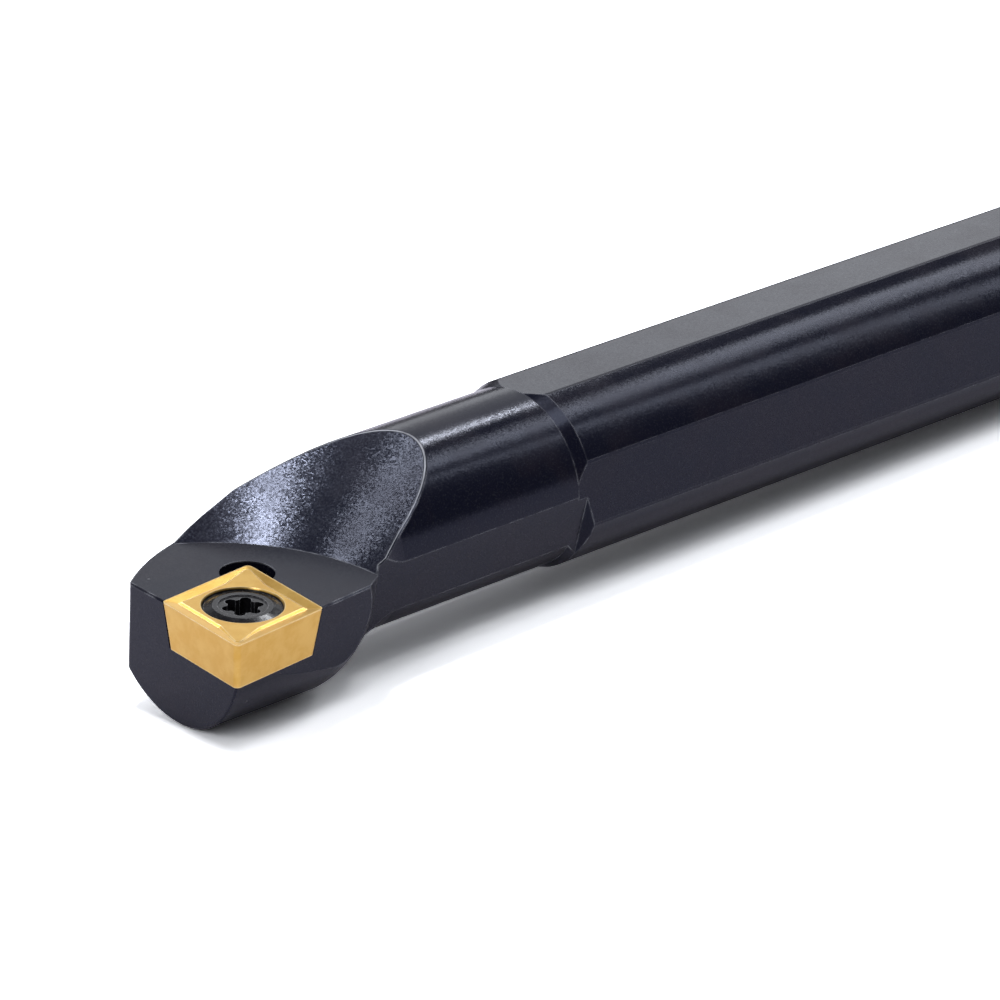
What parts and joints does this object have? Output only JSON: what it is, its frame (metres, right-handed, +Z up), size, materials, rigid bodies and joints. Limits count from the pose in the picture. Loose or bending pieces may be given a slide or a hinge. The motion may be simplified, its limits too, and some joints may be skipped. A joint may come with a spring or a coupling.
{
  "type": "indexable boring bar",
  "caption": "Round steel boring bar with clamping flats, slimmer neck and offset head, holding a screwed rhombic cutting insert in front of a scooped chip gullet.",
  "frame": {"origin": "centre of the rear end face, on the axis of the round shank", "axes": "X along the shank axis with the head towards -X, +Z up out of the insert's cutting face, cutting side towards -Y; the cutting nose is at x -0.180, y -0.011, z 0"},
  "size_m": [0.18, 0.019, 0.0174],
  "materials": {
    "bar_steel": "black oxide on blasted steel, satin and slightly grainy, worn bright along the edges",
    "coated_carbide": "gold-coloured ceramic coating on ground and pressed carbide, satin",
    "screw_steel": "black oxide, semi-gloss"
  },
  "bodies": {
    "root": {"bar_body": "bar_steel", "cutting_insert": "coated_carbide", "insert_screw": "screw_steel"}
  },
  "joints": []
}
